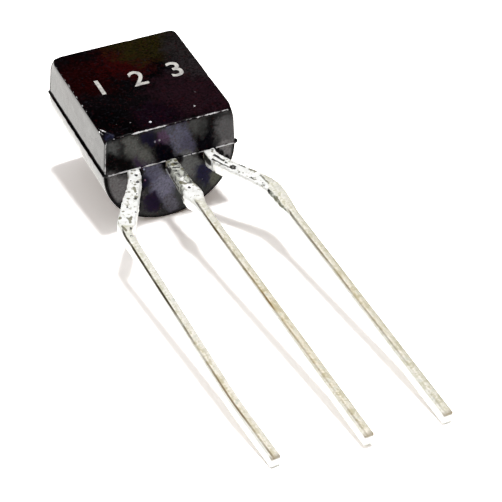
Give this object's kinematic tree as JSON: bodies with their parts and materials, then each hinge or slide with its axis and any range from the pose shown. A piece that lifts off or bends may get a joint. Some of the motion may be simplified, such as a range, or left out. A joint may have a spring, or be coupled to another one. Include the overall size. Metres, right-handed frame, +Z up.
{
  "type": "to-92 transistor",
  "caption": "Small-signal transistor: black moulded D-shaped body with a flat, and flat-sided leads splayed to board pitch, lying as it rests on its round back and lead tips.",
  "frame": {"origin": "on the surface that the part rests on, on the body's middle plane and halfway along the overall length", "axes": "+X across the body from the collector lead to the emitter lead, +Y from the lead tips to the body's far end, +Z up, out of the marked flat (which tilts 8.4 degrees towards the leads)"},
  "size_m": [0.0053, 0.0176, 0.0042],
  "materials": {
    "epoxy": "black moulded epoxy, satin",
    "tinned_lead": "tin-dipped lead-frame metal, bright and lumpy at the root and dull on the thin leads",
    "attach": "silver-filled die-attach adhesive",
    "silicon": "polished silicon",
    "bond_wire": "fine gold wire"
  },
  "bodies": {
    "root": {"epoxy_body": "epoxy", "collector_lead": "tinned_lead", "base_lead": "tinned_lead", "emitter_lead": "tinned_lead", "die_attach": "attach", "silicon_die": "silicon", "base_bond_wire": "bond_wire", "emitter_bond_wire": "bond_wire"}
  },
  "joints": []
}
